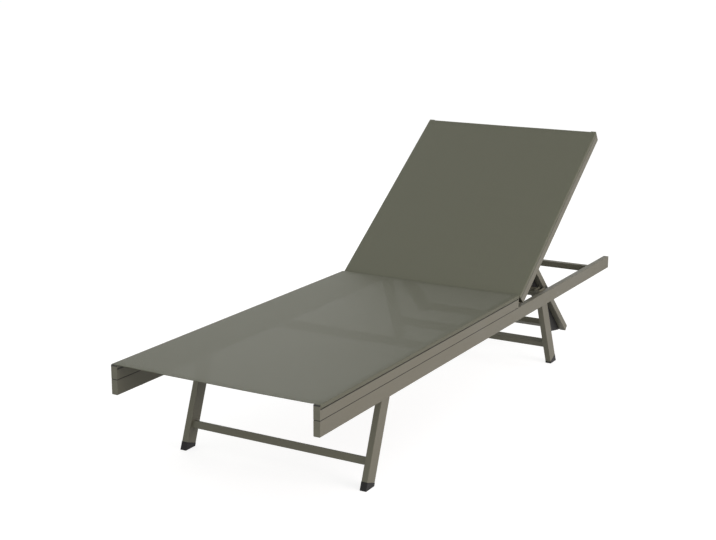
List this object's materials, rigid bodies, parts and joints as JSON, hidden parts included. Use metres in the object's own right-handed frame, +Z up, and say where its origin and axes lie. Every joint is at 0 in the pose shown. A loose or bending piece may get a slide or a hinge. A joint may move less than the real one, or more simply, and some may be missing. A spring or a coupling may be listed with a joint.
{
  "type": "sun lounger",
  "caption": "Sun lounger with a tube frame, mesh slings held in grooved side rails, and a hinged back that a folding prop with notched racks holds up.",
  "frame": {"origin": "on the floor, in the middle of the length and of the width", "axes": "+X across to the user's left when lying with the head at +Y, +Y from the foot end to the head end, +Z up"},
  "size_m": [0.6122, 1.93, 0.7238],
  "materials": {
    "frame_tube": "powder coated, taupe, semi-matte",
    "sling_cloth": "fine woven mesh of coated yarn, grey taupe",
    "keder_cord": "smooth",
    "foot_plastic": "moulded, matte black",
    "cap_plastic": "moulded, matte taupe",
    "rack_plastic": "moulded, fine grain, black",
    "steel_fastener": "stainless",
    "hinge_plate": "powder coated, taupe, semi-matte"
  },
  "bodies": {
    "frame": {"main_rail_left": "frame_tube", "main_rail_right": "frame_tube", "seat_rail_left": "frame_tube", "seat_rail_right": "frame_tube", "main_foot_cap_left": "cap_plastic", "main_foot_cap_right": "cap_plastic", "main_head_cap_left": "cap_plastic", "main_head_cap_right": "cap_plastic", "seat_foot_cap_left": "cap_plastic", "seat_foot_cap_right": "cap_plastic", "seat_hinge_caps": "cap_plastic", "mid_crossbar": "frame_tube", "head_crossbar": "frame_tube", "rail_screws": "steel_fastener", "front_leg_left": "frame_tube", "front_leg_right": "frame_tube", "rear_leg_left": "frame_tube", "rear_leg_right": "frame_tube", "front_foot_left": "foot_plastic", "front_foot_right": "foot_plastic", "rear_foot_left": "foot_plastic", "rear_foot_right": "foot_plastic", "front_leg_crossbar": "frame_tube", "rear_leg_crossbar": "frame_tube", "catch_bar": "frame_tube", "front_leg_bolts": "steel_fastener", "rear_leg_bolts": "steel_fastener", "rivet_nuts": "steel_fastener", "seat_sling": "sling_cloth", "seat_keder_left": "keder_cord", "seat_keder_right": "keder_cord", "hinge_bracket_left": "hinge_plate", "hinge_bracket_right": "hinge_plate", "bracket_screws": "steel_fastener", "hinge_bolts": "steel_fastener", "hinge_washers": "steel_fastener", "hinge_nuts": "steel_fastener"},
    "backrest": {"back_rail_left": "frame_tube", "back_rail_right": "frame_tube", "back_cap_left": "cap_plastic", "back_cap_right": "cap_plastic", "back_lower_tube": "frame_tube", "back_top_tube": "frame_tube", "back_sling": "sling_cloth", "back_keder_left": "keder_cord", "back_keder_right": "keder_cord", "back_hinge_plate_left": "hinge_plate", "back_hinge_plate_right": "hinge_plate", "hinge_plate_rivets": "steel_fastener", "prop_bolts": "steel_fastener", "prop_spacers": "foot_plastic", "prop_nuts": "steel_fastener"},
    "prop": {"prop_arm_left": "frame_tube", "prop_arm_right": "frame_tube", "prop_arm_plugs": "foot_plastic", "prop_crossbar": "frame_tube", "rack_left": "rack_plastic", "rack_right": "rack_plastic", "rack_screws": "steel_fastener"}
  },
  "joints": [
    {"name": "back_tilt", "type": "hinge", "parent": "frame", "child": "backrest", "pos_m": [0, 0.197, 0.286], "axis": [1, 0, 0], "range_deg": [0, 37.6]},
    {"name": "prop_swing", "type": "hinge", "parent": "backrest", "child": "prop", "pos_m": [0, 0.34315, 0.38987], "axis": [1, 0, 0], "range_deg": [-24.5, 0]}
  ],
  "couplings": [
    {"joint": "prop_swing", "follows": "back_tilt", "ratio": -0.65}
  ]
}
